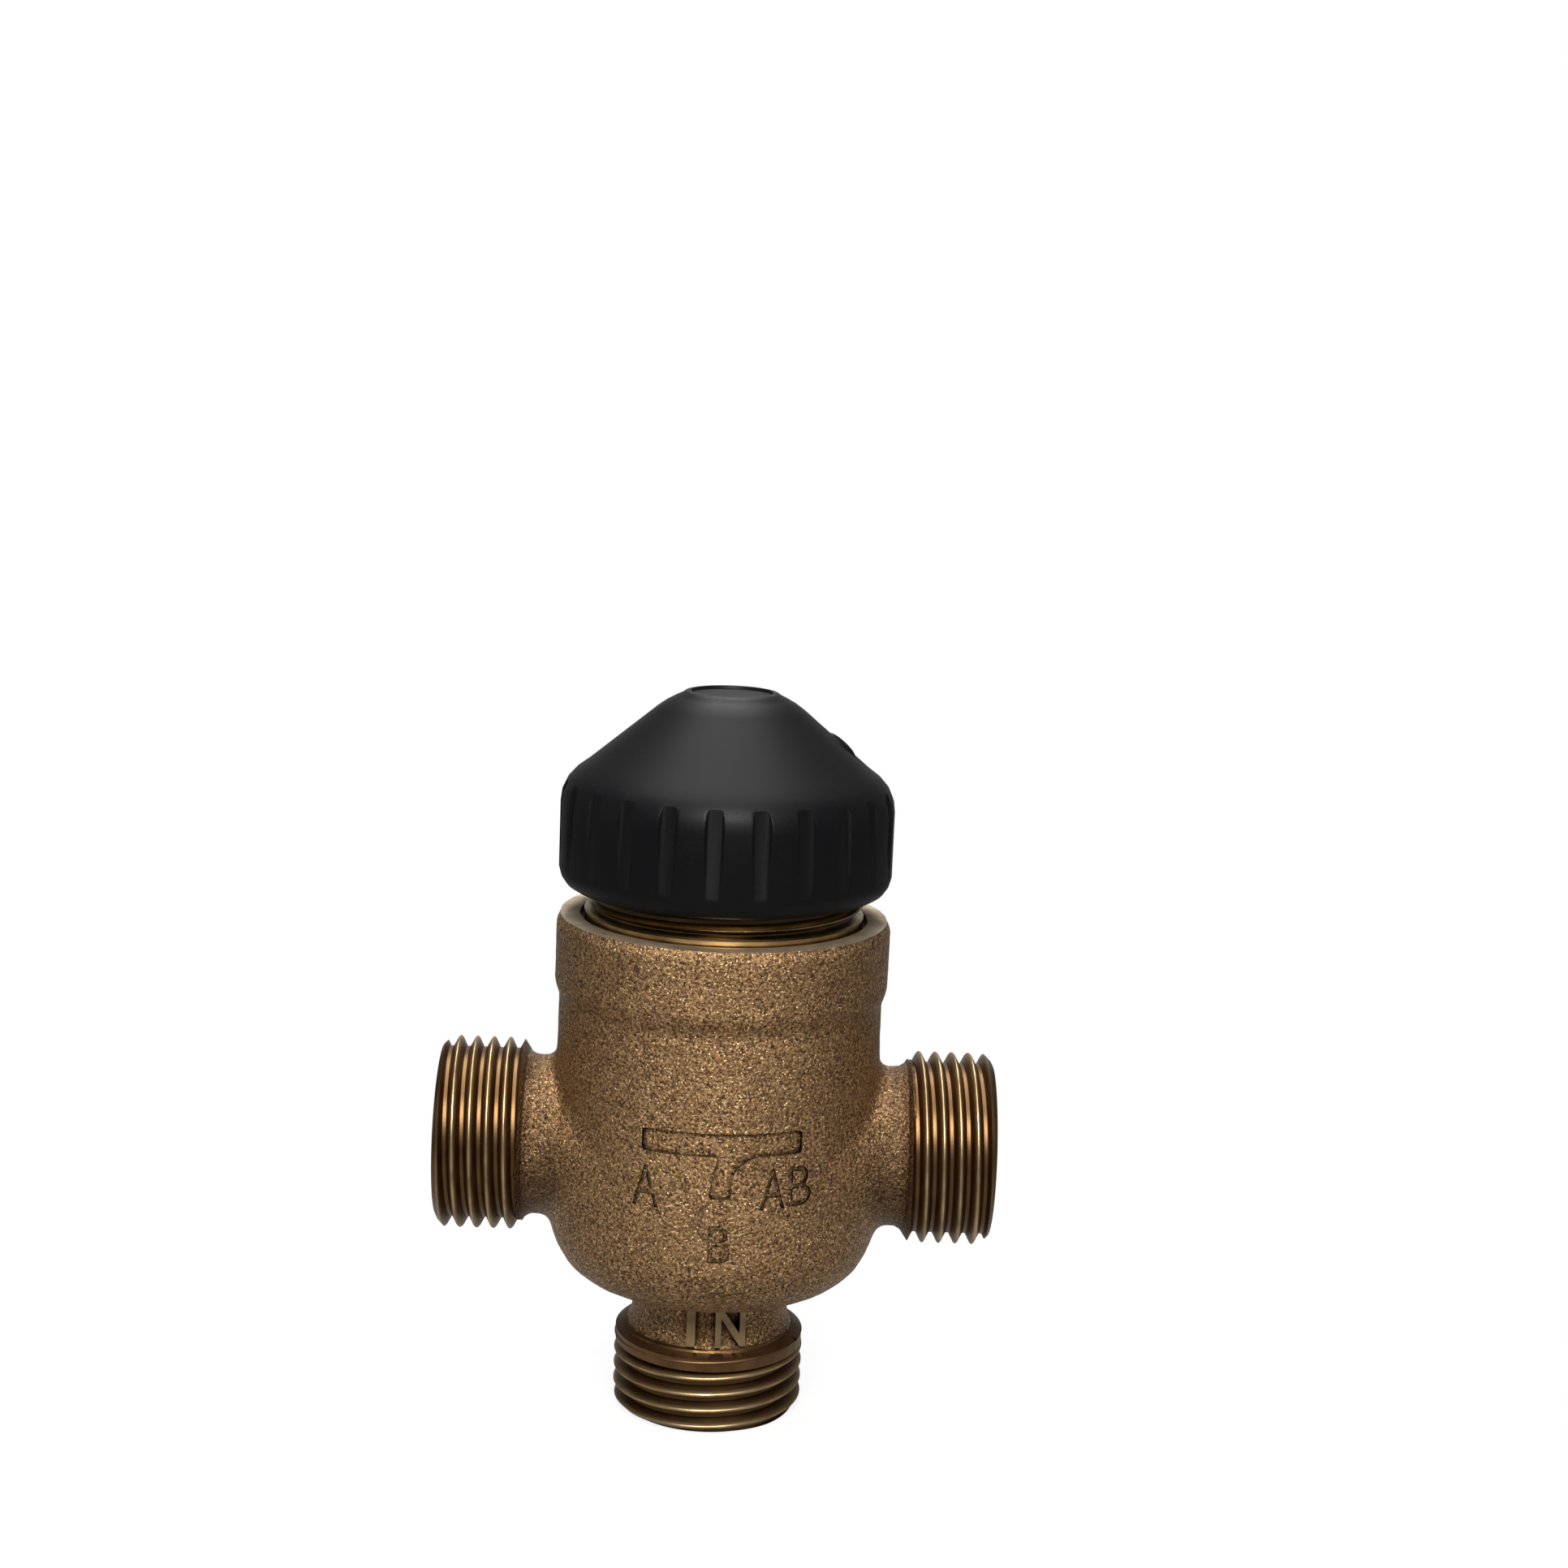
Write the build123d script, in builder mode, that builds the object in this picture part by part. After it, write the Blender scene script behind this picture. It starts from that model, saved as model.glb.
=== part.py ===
"""Three-port seat valve for a heating or cooling zone, closed with a plastic hand cap.

A cast bronze body carries three male pipe threads: port A on the left, the common port AB on
the right and the bypass port B underneath. A brass bonnet closes the barrel. A spring lifts
the stem, so its plug shuts the upper seat, and turning the cap down the bonnet's thread pushes
the stem until the plug shuts the lower seat instead.

Frame: millimetres, the origin in the middle of port B's end face, +Z up the stem, +X out of
port AB. Threads are plain cylinders at their major diameter.
"""
import os
from math import cos, radians, sin

from build123d import *

os.makedirs("parts", exist_ok=True)

# Casting
barrel_diameter = 35.4          # mean, between the bowl and the band
barrel_draft = 0.25             # radius gained towards the bowl and lost towards the band
band_thickness = 0.3            # how far the band round the bonnet's thread stands out
band_length = 7.4
band_fade = 1.5                 # length over which the band steps out of the barrel
rim_height = 55.3
rim_edge = 0.5                  # cast edge left outside the machined rim
bowl_floor = 14.8               # underside of the barrel
bowl_radius = 7.0
band_diameter = barrel_diameter + 2 * band_thickness

# Ports
port_height = 30.0              # from port B's end face to the side ports' axis
thread_diameter = 20.8          # male pipe thread, nominal half inch
thread_length = 8.6
thread_chamfer = 0.9
port_bore = 11.0
neck_diameter = 17.2            # rough neck behind each thread
neck_flare = 1.7                # length over which a neck widens to its thread
neck_run = 2.0                  # neck left between a side port's flare and the barrel
neck_fillet = 0.8 * neck_run    # where a neck leaves the barrel
port_reach = barrel_diameter / 2 + neck_run + neck_flare + thread_length
saddle_angle = 54.0             # how far a side neck's saddle runs round the barrel, inside it
saddle_squash = 0.84            # height of that saddle over its width
saddle_drop = 0.7               # how far it sits below the port's axis

# Chambers and passages inside the casting
chamber_diameter = 19.0         # middle chamber, open to port AB
chamber_floor = 22.5
septum_base = 35.8              # web that carries the upper seat
septum_top = 38.5
septum_bore = 15.6
riser_inner = 22.6              # passage that lifts port A over the septum, as diameters
riser_outer = 31.2
riser_angle = 64.0
riser_top = 43.4
lower_seat_height = 24.0
seat_lip = 0.8                  # width of each seat's raised lip
seat_bore = 10.4

# Bonnet
counterbore_diameter = 31.0
counterbore_depth = 0.8
bonnet_thread_diameter = 26.8   # thread that screws into the casting
bonnet_base = 44.0
collar_diameter = 30.1
collar_height = 1.5
cap_thread_diameter = 30.0      # thread that carries the cap
cap_thread_top = 66.0
spring_cavity_diameter = 16.8
spring_cavity_top = 55.4
packing_diameter = 8.0
packing_base = 57.2
gland_diameter = 14.0
gland_base = 61.0
gland_top = 65.5
spanner_slot = 3.0
spanner_slot_depth = 2.0

# Seals
bonnet_ring_height = 48.0       # middle of the bonnet's seal ring
bonnet_ring_section = 1.55
stem_ring_section = 1.9
seat_ring_section = 1.2
groove_play = 0.15              # room beside a ring, along its groove

# Seat ring
seat_ring_flange = 20.6
seat_ring_flange_height = 1.6
seat_ring_base = 35.0           # upper seat's lip

# Stem, plug and spring
stroke = 2.5
stem_diameter = 4.0
stem_tail_diameter = 3.0        # threaded end that holds the plug
stem_top = 69.5
plug_diameter = 14.0
plug_waist = 8.0
plug_seal_thickness = 1.4
plug_washer_diameter = 7.6
plug_washer_thickness = 0.7
nut_flats = 5.5
nut_height = 2.0
plate_thickness = 0.9           # washer under the spring
plate_recess = 1.6
plate_diameter = 18.6
clip_thickness = 0.6
clip_groove = 0.6               # depth of the clip's groove
cup_diameter = 12.4
cup_thickness = 1.0
cup_height = 53.3               # where the spring's upper end bears
e_clip_thickness = 0.6
e_clip_diameter = 8.4
e_clip_groove = 0.5
wire_diameter = 1.0
spring_diameter = 10.4          # mean diameter of the coil
spring_turns = 4.5

# Cap
cap_base = 58.5
cap_height = 21.1
cap_base_diameter = 34.4
grip_diameter = 35.8
grip_top = 68.0
cone_base_diameter = 30.4
cone_base = 71.4
cone_top_diameter = 15.2
cone_top = 78.0
crown_diameter = 9.6
cap_wall = 2.2
cap_recess_diameter = 8.8
cap_recess_depth = 0.35
flute_count = 23
flute_width = 2.0
flute_depth = 0.55
flute_phase = -4.05             # degrees from the front to the flute nearest it
flute_base = 60.6
boss_diameter = 6.4
rib_count = 6
rib_thickness = 1.2
rib_base = 70.0

# Fits
thread_fit = 0.05               # radial, between a screwed piece and its hole
sliding_fit = 0.05              # radial, round the stem and under the cap
seal_fit = 0.03                 # radial, on each side of a seal ring
touch = 0.02                    # between faces that press together and move apart


def turned(points):
    """Revolves a closed outline of (radius, height) points about the stem's axis."""
    with BuildPart() as body:
        with BuildSketch(Plane.XZ):
            with BuildLine():
                Polyline(*points, close=True)
            make_face()
        revolve(axis=Axis.Z)
    return body.part


def seal_ring(inside, outside, section, height):
    """A ring of round section between two coaxial walls, given as diameters."""
    with BuildPart() as ring:
        with BuildSketch(Plane.XZ):
            with Locations(((inside + outside) / 4, height)):
                Circle(min(section / 2, (outside - inside) / 4 - seal_fit))
        revolve(axis=Axis.Z)
    return ring.part


def washer(outside, inside, base, thickness):
    """A flat ring given by its two diameters."""
    with BuildPart() as ring:
        with BuildSketch(Plane.XY.offset(base)):
            Circle(outside / 2)
            Circle(inside / 2, mode=Mode.SUBTRACT)
        extrude(amount=thickness)
    return ring.part


def wedge(reach, angle):
    """Corners of a triangle that opens from the stem's axis along X by an angle."""
    side = abs(reach) * sin(radians(angle / 2))
    return [(0, 0), (reach * cos(radians(angle / 2)), side), (reach * cos(radians(angle / 2)), -side)]


def keep(part, name):
    """Names a finished piece and writes it to its own file."""
    part.label = name
    export_step(part, f"parts/{name}.step")


# Casting: the barrel and its bowl, turned about the stem's axis
rim_radius = band_diameter / 2 - rim_edge
band_base = rim_height - band_length
wide_radius = barrel_diameter / 2 + barrel_draft
with BuildPart() as valve_body:
    with BuildSketch(Plane.XZ):
        with BuildLine():
            Line((0, bowl_floor), (wide_radius - bowl_radius, bowl_floor))
            RadiusArc(
                (wide_radius - bowl_radius, bowl_floor),
                (wide_radius, bowl_floor + bowl_radius),
                -bowl_radius,
            )
            Polyline(
                (wide_radius, bowl_floor + bowl_radius),
                (wide_radius - 2 * barrel_draft, band_base - band_fade),
                (band_diameter / 2, band_base),
                (band_diameter / 2, rim_height - rim_edge),
            )
            RadiusArc(
                (band_diameter / 2, rim_height - rim_edge),
                (rim_radius, rim_height),
                -rim_edge,
            )
            Polyline((rim_radius, rim_height), (0, rim_height), (0, bowl_floor))
        make_face()
    revolve(axis=Axis.Z)

    # Three ports, each a chamfered thread, a flared root and a rough neck
    for end, inward, depth in (
        ((-port_reach, 0, port_height), (1, 0, 0), port_reach),
        ((port_reach, 0, port_height), (-1, 0, 0), port_reach),
        ((0, 0, 0), (0, 0, 1), port_height),
    ):
        across = Vector(0, -1, 0)
        with BuildSketch(Plane(origin=end, x_dir=across, z_dir=across.cross(Vector(inward)))):
            with BuildLine():
                Polyline(
                    (0, 0),
                    (thread_diameter / 2 - thread_chamfer, 0),
                    (thread_diameter / 2, thread_chamfer),
                    (thread_diameter / 2, thread_length),
                    (neck_diameter / 2, thread_length + neck_flare),
                    (neck_diameter / 2, depth),
                    (0, depth),
                    close=True,
                )
            make_face()
        revolve(axis=Axis(end, inward))
    side_joins = valve_body.edges().filter_by(GeomType.BSPLINE)
    under_join = (
        valve_body.edges()
        .filter_by(GeomType.CIRCLE)
        .filter_by_position(Axis.Z, bowl_floor - touch, bowl_floor + touch)
        .sort_by(SortBy.LENGTH)[0]
    )
    fillet(side_joins + [under_join], radius=neck_fillet)

    # Saddles: each side neck spreads round the barrel, wider than it is high
    neck_start = port_reach - thread_length - neck_flare
    sunk_radius = barrel_diameter / 2 - 2 * barrel_draft    # just inside the barrel
    saddle_length = neck_start - sunk_radius * cos(radians(saddle_angle))
    widening = sunk_radius * sin(radians(saddle_angle)) - neck_diameter / 2
    for side in (-1, 1):
        for along, share in ((-0.05, 0), (0.27, 0.18), (1, 1)):
            reach = neck_start - along * saddle_length
            half_width = neck_diameter / 2 + share * widening
            with BuildSketch(Plane.YZ.offset(side * reach)):
                with Locations((0, port_height - saddle_drop)):
                    Ellipse(half_width, saddle_squash * half_width)
        loft()

    # Bonnet's seat and thread, down to the upper chamber
    with BuildSketch(Plane.XY.offset(rim_height)):
        Circle(counterbore_diameter / 2)
    extrude(amount=-counterbore_depth, mode=Mode.SUBTRACT)
    with BuildSketch(Plane.XY.offset(septum_top)):
        Circle(bonnet_thread_diameter / 2)
    extrude(amount=rim_height - septum_top, mode=Mode.SUBTRACT)

    # Septum's hole, the middle chamber and the lower seat's raised lip
    with BuildSketch(Plane.XY.offset(septum_base)):
        Circle(septum_bore / 2)
    extrude(amount=septum_top - septum_base, mode=Mode.SUBTRACT)
    with BuildSketch(Plane.XY.offset(chamber_floor)):
        Circle(chamber_diameter / 2)
        Circle(seat_bore / 2 + seat_lip, mode=Mode.SUBTRACT)
    extrude(amount=lower_seat_height - chamber_floor, mode=Mode.SUBTRACT)
    with BuildSketch(Plane.XY.offset(lower_seat_height)):
        Circle(chamber_diameter / 2)
    extrude(amount=septum_base - lower_seat_height, mode=Mode.SUBTRACT)

    # Port B rises straight into the lower seat
    with BuildSketch(Plane.XY):
        Circle(port_bore / 2)
    extrude(amount=chamber_floor - 2 * seat_lip, mode=Mode.SUBTRACT)
    with BuildSketch(Plane.XY.offset(chamber_floor - 2 * seat_lip)):
        Circle(seat_bore / 2)
    extrude(amount=lower_seat_height - chamber_floor + 2 * seat_lip, mode=Mode.SUBTRACT)

    # Port AB runs level into the middle chamber, port A stops at the riser
    with BuildSketch(Plane.YZ.offset(port_reach)):
        with Locations((0, port_height)):
            Circle(port_bore / 2)
    extrude(amount=-(port_reach - chamber_diameter / 2 + 2 * seat_lip), mode=Mode.SUBTRACT)
    riser_middle = (riser_inner + riser_outer) / 4
    with BuildSketch(Plane.YZ.offset(-port_reach)):
        with Locations((0, port_height)):
            Circle(port_bore / 2)
    extrude(amount=port_reach - riser_middle + seat_lip, mode=Mode.SUBTRACT)

    # Riser: a curved slot that lifts port A above the septum
    with BuildSketch(Plane.XY.offset(port_height - port_bore / 2)):
        Circle(riser_outer / 2)
        Circle(riser_inner / 2, mode=Mode.SUBTRACT)
        with BuildLine():
            Polyline(*wedge(-riser_outer, riser_angle), close=True)
        make_face(mode=Mode.INTERSECT)
    extrude(amount=riser_top - port_height + port_bore / 2, mode=Mode.SUBTRACT)
keep(valve_body.part, "valve_body")

# Bonnet: collar on the counterbore's floor, the cap's thread above it
bonnet_seat = rim_height - counterbore_depth
collar_top = bonnet_seat + collar_height
spigot = bonnet_thread_diameter / 2 - thread_fit
ring_groove = bonnet_thread_diameter / 2 - bonnet_ring_section
groove_half = bonnet_ring_section / 2 + groove_play
plate_base = bonnet_base + plate_recess - plate_thickness
clip_base = plate_base - clip_thickness
thread_edge = 1.0
with BuildPart() as bonnet:
    with BuildSketch(Plane.XZ):
        with BuildLine():
            Polyline(
                (plate_diameter / 2 + thread_fit, bonnet_base),
                (spigot - thread_edge / 2, bonnet_base),
                (spigot, bonnet_base + thread_edge / 2),
                (spigot, bonnet_ring_height - groove_half),
                (ring_groove, bonnet_ring_height - groove_half),
                (ring_groove, bonnet_ring_height + groove_half),
                (spigot, bonnet_ring_height + groove_half),
                (spigot, bonnet_seat),
                (collar_diameter / 2, bonnet_seat),
                (collar_diameter / 2, collar_top),
                (cap_thread_diameter / 2, collar_top),
                (cap_thread_diameter / 2, cap_thread_top - thread_edge),
                (cap_thread_diameter / 2 - thread_edge, cap_thread_top),
                (gland_diameter / 2, cap_thread_top),
                (gland_diameter / 2, gland_base),
                (packing_diameter / 2, gland_base),
                (packing_diameter / 2, packing_base),
                (stem_diameter / 2 + 2 * sliding_fit, packing_base),
                (stem_diameter / 2 + 2 * sliding_fit, spring_cavity_top),
                (spring_cavity_diameter / 2, spring_cavity_top),
                (spring_cavity_diameter / 2, bonnet_base + plate_recess),
                (plate_diameter / 2 + thread_fit, bonnet_base + plate_recess),
                (plate_diameter / 2 + thread_fit, plate_base - touch),
                (plate_diameter / 2 + clip_groove, plate_base - touch),
                (plate_diameter / 2 + clip_groove, clip_base - touch),
                (plate_diameter / 2 + thread_fit, clip_base - touch),
                close=True,
            )
        make_face()
    revolve(axis=Axis.Z)
    with BuildSketch(Plane.XY.offset(cap_thread_top)):
        Rectangle(cap_thread_diameter, spanner_slot)
    extrude(amount=-spanner_slot_depth, mode=Mode.SUBTRACT)
keep(bonnet.part, "bonnet")

# Gland: a screw that holds the packing down, slotted for a driver
gland_recess = stem_ring_section + groove_play
with BuildPart() as gland_nut:
    with BuildSketch(Plane.XY.offset(gland_base)):
        Circle(gland_diameter / 2 - thread_fit)
    extrude(amount=gland_top - gland_base)
    with BuildSketch(Plane.XY.offset(gland_base)):
        Circle(stem_diameter / 2 + 2 * sliding_fit)
    extrude(amount=gland_top - gland_base, mode=Mode.SUBTRACT)
    with BuildSketch(Plane.XY.offset(gland_base)):
        Circle(packing_diameter / 2)
    extrude(amount=gland_recess, mode=Mode.SUBTRACT)
    with BuildSketch(Plane.XY.offset(gland_top)):
        Rectangle(gland_diameter, spanner_slot / 2)
    extrude(amount=-spanner_slot_depth / 2, mode=Mode.SUBTRACT)
keep(gland_nut.part, "gland_nut")

# Packing, from the bottom: guide bush, ring, spacer, ring
bush_height = 1.4
spacer_height = gland_base - packing_base - bush_height - stem_ring_section - groove_play
packing_outside = packing_diameter - 2 * seal_fit
stem_hole = stem_diameter + 2 * sliding_fit
lower_ring_height = packing_base + bush_height + (stem_ring_section + groove_play) / 2
upper_ring_height = gland_base + (stem_ring_section + groove_play) / 2
keep(washer(packing_outside, stem_hole, packing_base, bush_height), "guide_bush")
keep(
    seal_ring(stem_diameter, packing_diameter, stem_ring_section, lower_ring_height),
    "stem_seal_lower",
)
keep(
    washer(packing_outside, stem_hole, gland_base - spacer_height, spacer_height),
    "stem_spacer",
)
keep(
    seal_ring(stem_diameter, packing_diameter, stem_ring_section, upper_ring_height),
    "stem_seal_upper",
)

# Seal between the bonnet's groove and the casting
keep(
    seal_ring(2 * ring_groove, bonnet_thread_diameter, bonnet_ring_section, bonnet_ring_height),
    "bonnet_seal",
)

# Upper seat: a ring screwed into the septum from above, with a seal under its flange
seat_flange_base = septum_top
seat_flange_top = seat_flange_base + seat_ring_flange_height
seat_shank = septum_bore / 2 - thread_fit
lip_height = septum_base - seat_ring_base
seat_groove = septum_bore / 2 + seat_ring_section + 2 * seal_fit
with BuildPart() as upper_seat_ring:
    with BuildSketch(Plane.XZ):
        with BuildLine():
            Polyline(
                (seat_bore / 2, seat_ring_base),
                (seat_bore / 2 + seat_lip, seat_ring_base),
                (seat_bore / 2 + 2 * seat_lip, seat_ring_base + lip_height),
                (seat_shank, seat_ring_base + lip_height),
                (seat_shank, seat_flange_base + seat_ring_section),
                (seat_groove, seat_flange_base + seat_ring_section),
                (seat_groove, seat_flange_base + touch),
                (seat_ring_flange / 2, seat_flange_base + touch),
                (seat_ring_flange / 2, seat_flange_top),
                (seat_bore / 2 + seat_lip, seat_flange_top),
                (seat_bore / 2, seat_flange_top - seat_lip),
                close=True,
            )
        make_face()
    revolve(axis=Axis.Z)
    with BuildSketch(Plane.XY.offset(seat_flange_top)):
        Rectangle(seat_ring_flange, spanner_slot)
    extrude(amount=-(seat_ring_flange_height - seat_ring_section), mode=Mode.SUBTRACT)
keep(upper_seat_ring.part, "upper_seat_ring")
seat_seal_height = seat_flange_base + seat_ring_section / 2
keep(
    seal_ring(2 * seat_shank, 2 * seat_groove, seat_ring_section, seat_seal_height),
    "seat_ring_seal",
)

# Spring's lower washer and the clip that holds it in the bonnet
keep(
    washer(plate_diameter, stem_diameter + 4 * sliding_fit, plate_base, plate_thickness),
    "spring_plate",
)
clip_width = 1.7
clip_gap = 40.0                 # degrees left open between the clip's ears
clip_outside = plate_diameter / 2 + clip_groove - thread_fit
with BuildPart() as plate_clip:
    with BuildSketch(Plane.XY.offset(clip_base)):
        Circle(clip_outside)
        Circle(clip_outside - clip_width, mode=Mode.SUBTRACT)
        with BuildLine():
            Polyline(*wedge(2 * clip_outside, clip_gap), close=True)
        make_face(mode=Mode.SUBTRACT)
        ear_turn = clip_gap / 2 + 7
        ear_span = 360 - 2 * ear_turn
        with PolarLocations(clip_outside - clip_width, 2, ear_turn, ear_span, endpoint=True):
            Circle(clip_width / 2)
            Circle(clip_width / 4, mode=Mode.SUBTRACT)
    extrude(amount=clip_thickness - touch)
keep(plate_clip.part, "plate_clip")

# Return spring: a coil with its ends closed down on the washer and the cup
spring_base = plate_base + plate_thickness
spring_rise = cup_height - spring_base - wire_diameter - 2 * touch
with BuildPart() as return_spring:
    with BuildLine():
        coil = Helix(
            pitch=spring_rise / spring_turns,
            height=spring_rise,
            radius=spring_diameter / 2,
            center=(0, 0, spring_base + wire_diameter / 2 + touch),
        )
    with BuildSketch(Plane(origin=coil @ 0, z_dir=coil % 0)):
        Circle(wire_diameter / 2)
    sweep(path=coil, is_frenet=True)
keep(return_spring.part, "return_spring")

# Cup on the stem, and the clip above it
cup_top = cup_height + cup_thickness
keep(
    washer(cup_diameter, stem_diameter + sliding_fit, cup_height, cup_thickness),
    "spring_cup",
)
e_clip_base = cup_top + touch
groove_radius = stem_diameter / 2 - e_clip_groove
with BuildPart() as stem_clip:
    with BuildSketch(Plane.XY.offset(e_clip_base)):
        Circle(e_clip_diameter / 2)
        Circle(groove_radius + touch, mode=Mode.SUBTRACT)
        with Locations((e_clip_diameter / 2, 0)):
            Rectangle(e_clip_diameter, 2 * groove_radius, mode=Mode.SUBTRACT)
        with PolarLocations(stem_diameter / 2 + e_clip_groove, 2, 110, 140, endpoint=True):
            Circle(e_clip_groove, mode=Mode.SUBTRACT)
    extrude(amount=e_clip_thickness)
keep(stem_clip.part, "stem_clip")

# Stem: slides in the packing, its thin tail carries the plug
plug_top = seat_ring_base - touch
washer_top = plug_top + plug_washer_thickness
plug_base = lower_seat_height + touch + stroke
nut_base = plug_base - nut_height
stem_chamfer = 0.4
with BuildPart() as stem:
    with BuildSketch(Plane.XZ):
        with BuildLine():
            Polyline(
                (0, nut_base - stem_chamfer),
                (stem_tail_diameter / 2, nut_base - stem_chamfer),
                (stem_tail_diameter / 2, washer_top),
                (stem_diameter / 2, washer_top),
                (stem_diameter / 2, e_clip_base - touch),
                (groove_radius, e_clip_base - touch),
                (groove_radius, e_clip_base + e_clip_thickness + touch),
                (stem_diameter / 2, e_clip_base + e_clip_thickness + touch),
                (stem_diameter / 2, stem_top - stem_chamfer),
                (stem_diameter / 2 - stem_chamfer, stem_top),
                (0, stem_top),
                close=True,
            )
        make_face()
    revolve(axis=Axis.Z)
keep(stem.part, "stem")

# Plug: a spool with a seal disc on each end, clamped between a washer and a nut
tail_hole = stem_tail_diameter + sliding_fit
spool_base = plug_base + plug_seal_thickness
spool_top = plug_top - plug_seal_thickness
spool_flange = 1.3
spool = turned(
    [
        (tail_hole / 2, spool_base),
        (plug_diameter / 2, spool_base),
        (plug_diameter / 2, spool_base + spool_flange),
        (plug_waist / 2, spool_base + 2 * spool_flange),
        (plug_waist / 2, spool_top - 2 * spool_flange),
        (plug_diameter / 2, spool_top - spool_flange),
        (plug_diameter / 2, spool_top),
        (tail_hole / 2, spool_top),
    ]
)
keep(spool, "control_plug")
keep(washer(plug_diameter, tail_hole, spool_top, plug_seal_thickness), "plug_seal_upper")
keep(washer(plug_diameter, tail_hole, plug_base, plug_seal_thickness), "plug_seal_lower")
keep(washer(plug_washer_diameter, tail_hole, plug_top, plug_washer_thickness), "plug_washer")
with BuildPart() as plug_nut:
    with BuildSketch(Plane.XY.offset(nut_base)):
        RegularPolygon(nut_flats / 2, 6, major_radius=False)
        Circle(tail_hole / 2, mode=Mode.SUBTRACT)
    extrude(amount=nut_height)
keep(plug_nut.part, "plug_nut")

# Cap: a moulded shell with a fluted grip, its boss resting on the stem
cap_top = cap_base + cap_height
cap_bore = cap_thread_diameter / 2 + sliding_fit + (collar_diameter - cap_thread_diameter) / 2
bottom_edge = (grip_diameter - cap_base_diameter) / 2
slope = Vector(cone_base_diameter / 2 - cone_top_diameter / 2, cone_base - cone_top).normalized()
wall_step = Vector(slope.Y, -slope.X) * cap_wall
shell_low = Vector(cone_base_diameter / 2, cone_base) + wall_step
shell_high = Vector(cone_top_diameter / 2, cone_top) + wall_step
bore_top = shell_low.Y + (cap_bore - shell_low.X) * slope.Y / slope.X
roof = cap_top - cap_recess_depth - cap_wall
roof_radius = shell_high.X + (roof - shell_high.Y) * slope.X / slope.Y
with BuildPart() as screw_cap:
    with BuildSketch(Plane.XZ):
        with BuildLine():
            Line((0, cap_base), (cap_base_diameter / 2, cap_base))
            Line((cap_base_diameter / 2, cap_base), (grip_diameter / 2, cap_base + 2 * bottom_edge))
            Line((grip_diameter / 2, cap_base + 2 * bottom_edge), (grip_diameter / 2, grip_top))
            TangentArc(
                (grip_diameter / 2, grip_top),
                (cone_base_diameter / 2, cone_base),
                tangent=(0, 1),
            )
            Line((cone_base_diameter / 2, cone_base), (cone_top_diameter / 2, cone_top))
            TangentArc(
                (cone_top_diameter / 2, cone_top),
                (crown_diameter / 2, cap_top),
                tangent=(-slope.X, -slope.Y),
            )
            Polyline((crown_diameter / 2, cap_top), (0, cap_top), (0, cap_base))
        make_face()
    revolve(axis=Axis.Z)
    with BuildSketch(Plane.XY.offset(cap_top)):
        Circle(cap_recess_diameter / 2)
    extrude(amount=-cap_recess_depth, mode=Mode.SUBTRACT)

    # Flutes: flat-bottomed grooves that run out before the lower edge
    with BuildSketch(Plane.XY.offset(flute_base)):
        with PolarLocations(grip_diameter / 2, flute_count, flute_phase - 90):
            Rectangle(2 * flute_depth, flute_width)
    extrude(amount=cap_top - flute_base, mode=Mode.SUBTRACT)

    # Hollow: the thread's bore and the conical roof
    with BuildSketch(Plane.XZ):
        with BuildLine():
            Polyline(
                (0, cap_base),
                (cap_bore, cap_base),
                (cap_bore, bore_top),
                (roof_radius, roof),
                (0, roof),
                close=True,
            )
        make_face()
    revolve(axis=Axis.Z, mode=Mode.SUBTRACT)

    # Boss that pushes the stem, braced by ribs
    with BuildSketch(Plane.XY.offset(stem_top + touch)):
        Circle(boss_diameter / 2)
    extrude(amount=roof - stem_top)
    with BuildSketch(Plane.XY.offset(rib_base)):
        with PolarLocations(0, rib_count):
            with Locations((cap_bore / 2, 0)):
                Rectangle(cap_bore, rib_thickness)
    extrude(until=Until.NEXT)
keep(screw_cap.part, "screw_cap")
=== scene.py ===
# %% [markdown]
# # A small bronze control valve, from frame to picture
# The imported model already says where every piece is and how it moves. This lesson dresses it:
# it loads that frame, models the pieces whose real surface is richer than the solid, gives each
# one a finish, and lights them. All lengths are metres, and `MM` turns a size in millimetres
# into them.

# %% Load the frame
import bpy
from math import atan, cos, pi, radians, sin, tan
from mathutils import Matrix, Vector


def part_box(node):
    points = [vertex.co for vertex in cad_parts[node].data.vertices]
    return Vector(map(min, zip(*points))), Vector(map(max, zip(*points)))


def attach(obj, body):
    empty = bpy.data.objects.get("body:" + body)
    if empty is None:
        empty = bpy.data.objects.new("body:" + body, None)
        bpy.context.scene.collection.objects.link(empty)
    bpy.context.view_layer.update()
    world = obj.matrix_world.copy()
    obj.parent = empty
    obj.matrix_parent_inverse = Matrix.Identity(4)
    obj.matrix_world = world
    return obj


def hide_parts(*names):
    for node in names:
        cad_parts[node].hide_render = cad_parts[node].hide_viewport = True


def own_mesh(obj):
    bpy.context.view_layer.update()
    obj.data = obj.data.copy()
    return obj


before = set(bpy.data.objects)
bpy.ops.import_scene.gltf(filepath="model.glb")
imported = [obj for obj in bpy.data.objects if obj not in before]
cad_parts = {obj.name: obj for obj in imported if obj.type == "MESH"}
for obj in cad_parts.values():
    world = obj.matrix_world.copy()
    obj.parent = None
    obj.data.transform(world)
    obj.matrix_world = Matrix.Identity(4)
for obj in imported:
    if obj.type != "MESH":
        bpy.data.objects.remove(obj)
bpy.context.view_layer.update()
MM = 0.001

# %% [markdown]
# ## Helpers for modelling by hand
# Operators act on whatever is selected, and loading leaves the frame selected. So each piece
# starts from an empty selection, and faces or vertices are picked in code by where they are.

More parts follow.
